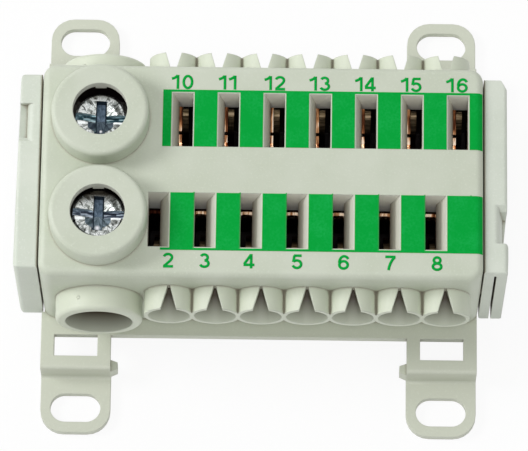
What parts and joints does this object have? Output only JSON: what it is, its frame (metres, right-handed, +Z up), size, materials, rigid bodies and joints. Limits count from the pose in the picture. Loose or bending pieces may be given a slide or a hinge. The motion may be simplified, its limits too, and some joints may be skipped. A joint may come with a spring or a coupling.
{
  "type": "terminal block",
  "caption": "Protective-earth distribution block: screw clamps and rows of spring terminals share one copper bar in a moulded housing on slotted feet.",
  "frame": {"origin": "under the middle of the housing, on the plane that the feet stand on", "axes": "+X along the rows from the screw terminals to the last spring terminal, +Y from the front row to the rear row, +Z up out of the top face"},
  "size_m": [0.0664, 0.0608, 0.0275],
  "materials": {
    "housing_plastic": "pale grey-green moulded polyamide, fine matt grain",
    "base_plastic": "pale yellow-grey moulded polyamide, fine matt grain",
    "print_green": "printed green ink, flat and slightly uneven",
    "copper": "bare rolled copper, slightly tarnished",
    "spring_steel": "bright rolled stainless spring strip",
    "frame_steel": "folded zinc-plated steel, dull",
    "zinc_plated_steel": "bright zinc plating, bluish, scratched"
  },
  "bodies": {
    "block": {"housing": "housing_plastic", "base": "base_plastic", "end_plate_left": "housing_plastic", "end_plate_right": "housing_plastic", "busbar": "copper", "marking_band_front": "print_green", "clamp_frame_front": "frame_steel", "marking_band_rear": "print_green", "clamp_frame_rear": "frame_steel", "contact_clip_2": "copper", "contact_clip_3": "copper", "contact_clip_4": "copper", "contact_clip_5": "copper", "contact_clip_6": "copper", "contact_clip_7": "copper", "contact_clip_8": "copper", "contact_clip_10": "copper", "contact_clip_11": "copper", "contact_clip_12": "copper", "contact_clip_13": "copper", "contact_clip_14": "copper", "contact_clip_15": "copper", "contact_clip_16": "copper", "clamp_spring_2": "spring_steel", "clamp_spring_3": "spring_steel", "clamp_spring_4": "spring_steel", "clamp_spring_5": "spring_steel", "clamp_spring_6": "spring_steel", "clamp_spring_7": "spring_steel", "clamp_spring_8": "spring_steel", "clamp_spring_10": "spring_steel", "clamp_spring_11": "spring_steel", "clamp_spring_12": "spring_steel", "clamp_spring_13": "spring_steel", "clamp_spring_14": "spring_steel", "clamp_spring_15": "spring_steel", "clamp_spring_16": "spring_steel"},
    "foot_front": {"pressure_foot_front": "zinc_plated_steel"},
    "screw_front": {"terminal_screw_front": "zinc_plated_steel"},
    "foot_rear": {"pressure_foot_rear": "zinc_plated_steel"},
    "screw_rear": {"terminal_screw_rear": "zinc_plated_steel"}
  },
  "joints": [
    {"name": "foot_travel_front", "type": "slide", "parent": "block", "child": "foot_front", "axis": [0, 0, 1], "range_m": [-0.00275, 0.00025]},
    {"name": "screw_turn_front", "type": "hinge", "parent": "foot_front", "child": "screw_front", "pos_m": [-0.02185, -0.00685, 0.0197], "axis": [0, 0, 1], "range_deg": [-991, 91]},
    {"name": "foot_travel_rear", "type": "slide", "parent": "block", "child": "foot_rear", "axis": [0, 0, 1], "range_m": [-0.0025, 0.00125]},
    {"name": "screw_turn_rear", "type": "hinge", "parent": "foot_rear", "child": "screw_rear", "pos_m": [-0.02185, 0.00685, 0.0197], "axis": [0, 0, 1], "range_deg": [-901, 451]}
  ],
  "couplings": [
    {"joint": "screw_turn_front", "follows": "foot_travel_front", "rad_per_m": 6283.2},
    {"joint": "screw_turn_rear", "follows": "foot_travel_rear", "rad_per_m": 6283.2}
  ]
}
